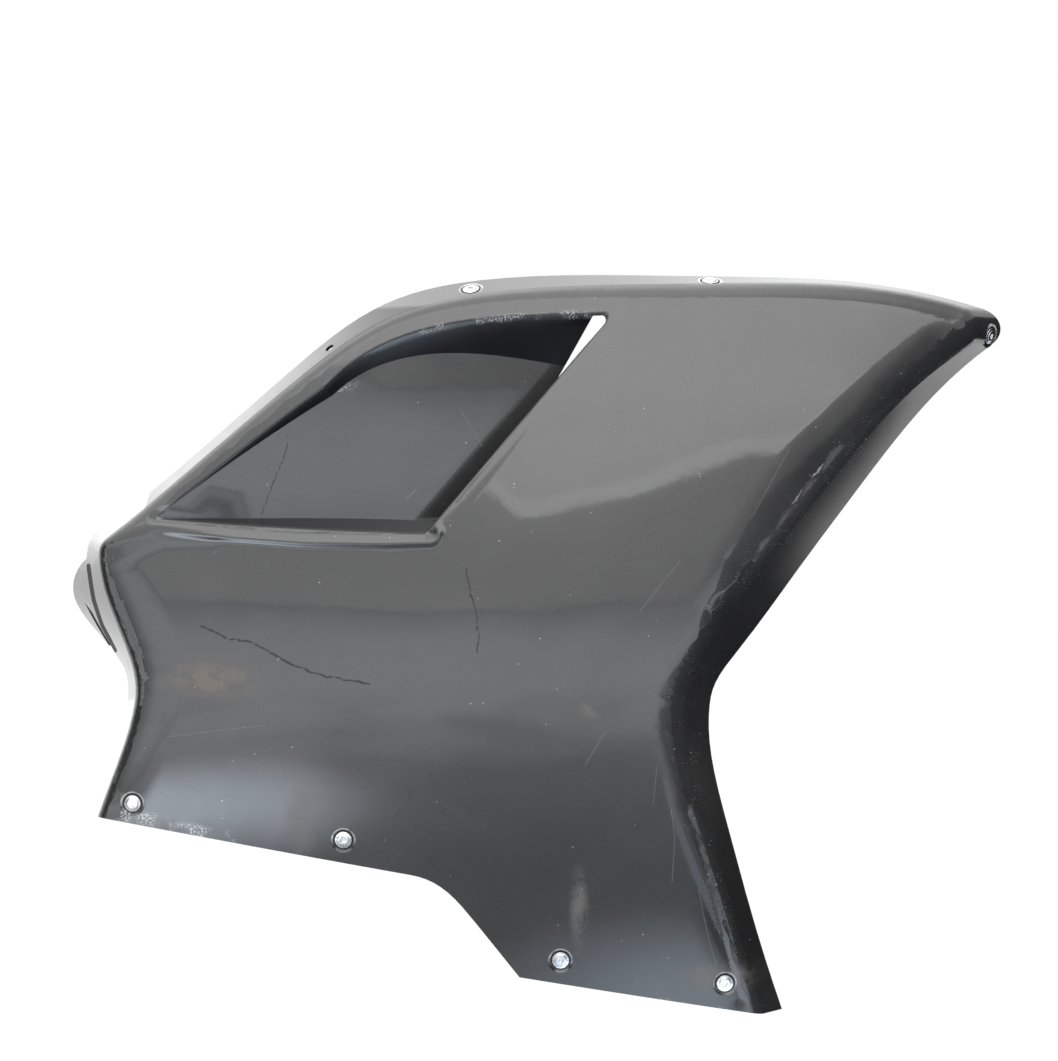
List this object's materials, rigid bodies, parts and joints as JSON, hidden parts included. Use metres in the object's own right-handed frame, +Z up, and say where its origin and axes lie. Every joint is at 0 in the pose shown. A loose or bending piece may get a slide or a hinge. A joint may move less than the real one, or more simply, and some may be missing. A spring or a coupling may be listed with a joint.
{
  "type": "motorcycle fairing side panel",
  "caption": "Thin glossy black moulded side panel of a motorcycle fairing, with a sunken air outlet, turned-in flanks and captive quarter-turn studs.",
  "frame": {"origin": "outermost point of the crowned outer face, below and behind the front lip of the air outlet", "axes": "+X forward, towards the nose corner; +Y inward, towards the other side of the motorcycle, so the outer face looks along -Y; +Z up"},
  "size_m": [0.7868, 0.1041, 0.621],
  "materials": {
    "shell": "glossy, scratched",
    "stud": "bright, worn",
    "washer": "matte"
  },
  "bodies": {
    "panel": {"side_panel": "shell"},
    "fastener_heel": {"stud_heel": "stud", "washer_heel": "washer"},
    "fastener_hock": {"stud_hock": "stud", "washer_hock": "washer"},
    "fastener_notch": {"stud_notch": "stud", "washer_notch": "washer"},
    "fastener_toe": {"stud_toe": "stud", "washer_toe": "washer"},
    "fastener_shoulder": {"stud_shoulder": "stud", "washer_shoulder": "washer"},
    "fastener_crown": {"stud_crown": "stud", "washer_crown": "washer"},
    "fastener_nose": {"stud_nose": "stud", "washer_nose": "washer"}
  },
  "joints": [
    {"name": "turn_heel", "type": "hinge", "parent": "panel", "child": "fastener_heel", "pos_m": [-0.28082, 0.02715, -0.17584], "axis": [-0.1105, -0.989, -0.0983], "range_deg": [0, 90]},
    {"name": "turn_hock", "type": "hinge", "parent": "panel", "child": "fastener_hock", "pos_m": [-0.10593, 0.01617, -0.20482], "axis": [-0.0465, -0.9924, -0.1136], "range_deg": [0, 90]},
    {"name": "turn_notch", "type": "hinge", "parent": "panel", "child": "fastener_notch", "pos_m": [0.07294, 0.02901, -0.30574], "axis": [0.0351, -0.9862, -0.1618], "range_deg": [0, 90]},
    {"name": "turn_toe", "type": "hinge", "parent": "panel", "child": "fastener_toe", "pos_m": [0.20983, 0.04238, -0.32673], "axis": [0.1073, -0.9795, -0.1703], "range_deg": [0, 90]},
    {"name": "turn_shoulder", "type": "hinge", "parent": "panel", "child": "fastener_shoulder", "pos_m": [-0.00119, 0.03582, 0.2495], "axis": [-0.1104, -0.4912, 0.864], "range_deg": [0, 90]},
    {"name": "turn_crown", "type": "hinge", "parent": "panel", "child": "fastener_crown", "pos_m": [0.19798, 0.04845, 0.2573], "axis": [0.0304, -0.3645, 0.9307], "range_deg": [0, 90]},
    {"name": "turn_nose", "type": "hinge", "parent": "panel", "child": "fastener_nose", "pos_m": [0.43803, 0.09329, 0.21502], "axis": [0.7689, -0.5581, -0.3119], "range_deg": [0, 90]}
  ]
}
